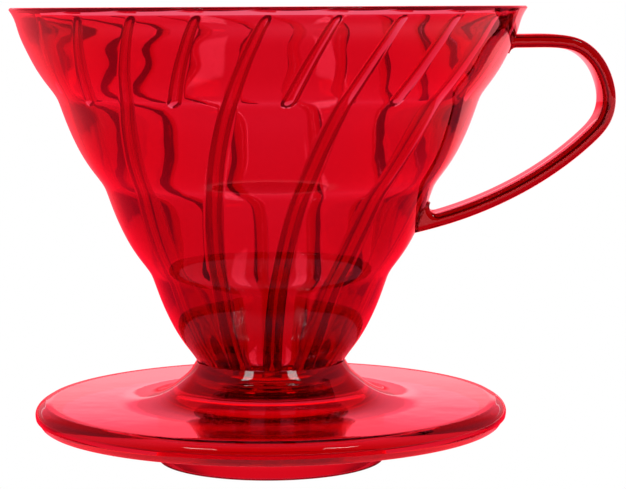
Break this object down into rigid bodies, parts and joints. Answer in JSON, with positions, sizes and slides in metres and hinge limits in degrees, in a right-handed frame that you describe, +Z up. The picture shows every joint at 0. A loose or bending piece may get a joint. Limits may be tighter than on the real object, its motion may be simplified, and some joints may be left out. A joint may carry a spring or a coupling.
{
  "type": "pour over dripper",
  "caption": "Clear red plastic cone for brewing coffee through a paper filter, with spiral ribs inside, a looped side handle and a saucer base that sits on a cup.",
  "frame": {"origin": "on the axis of the cone, level with the underside of the locating ring", "axes": "+Z up along the axis of the cone; +X towards the handle"},
  "size_m": [0.1361, 0.1162, 0.1032],
  "materials": {
    "clear_red_plastic": "see-through moulded plastic, tinted red and polished"
  },
  "bodies": {
    "root": {"cone": "clear_red_plastic", "handle": "clear_red_plastic", "base": "clear_red_plastic"}
  },
  "joints": []
}
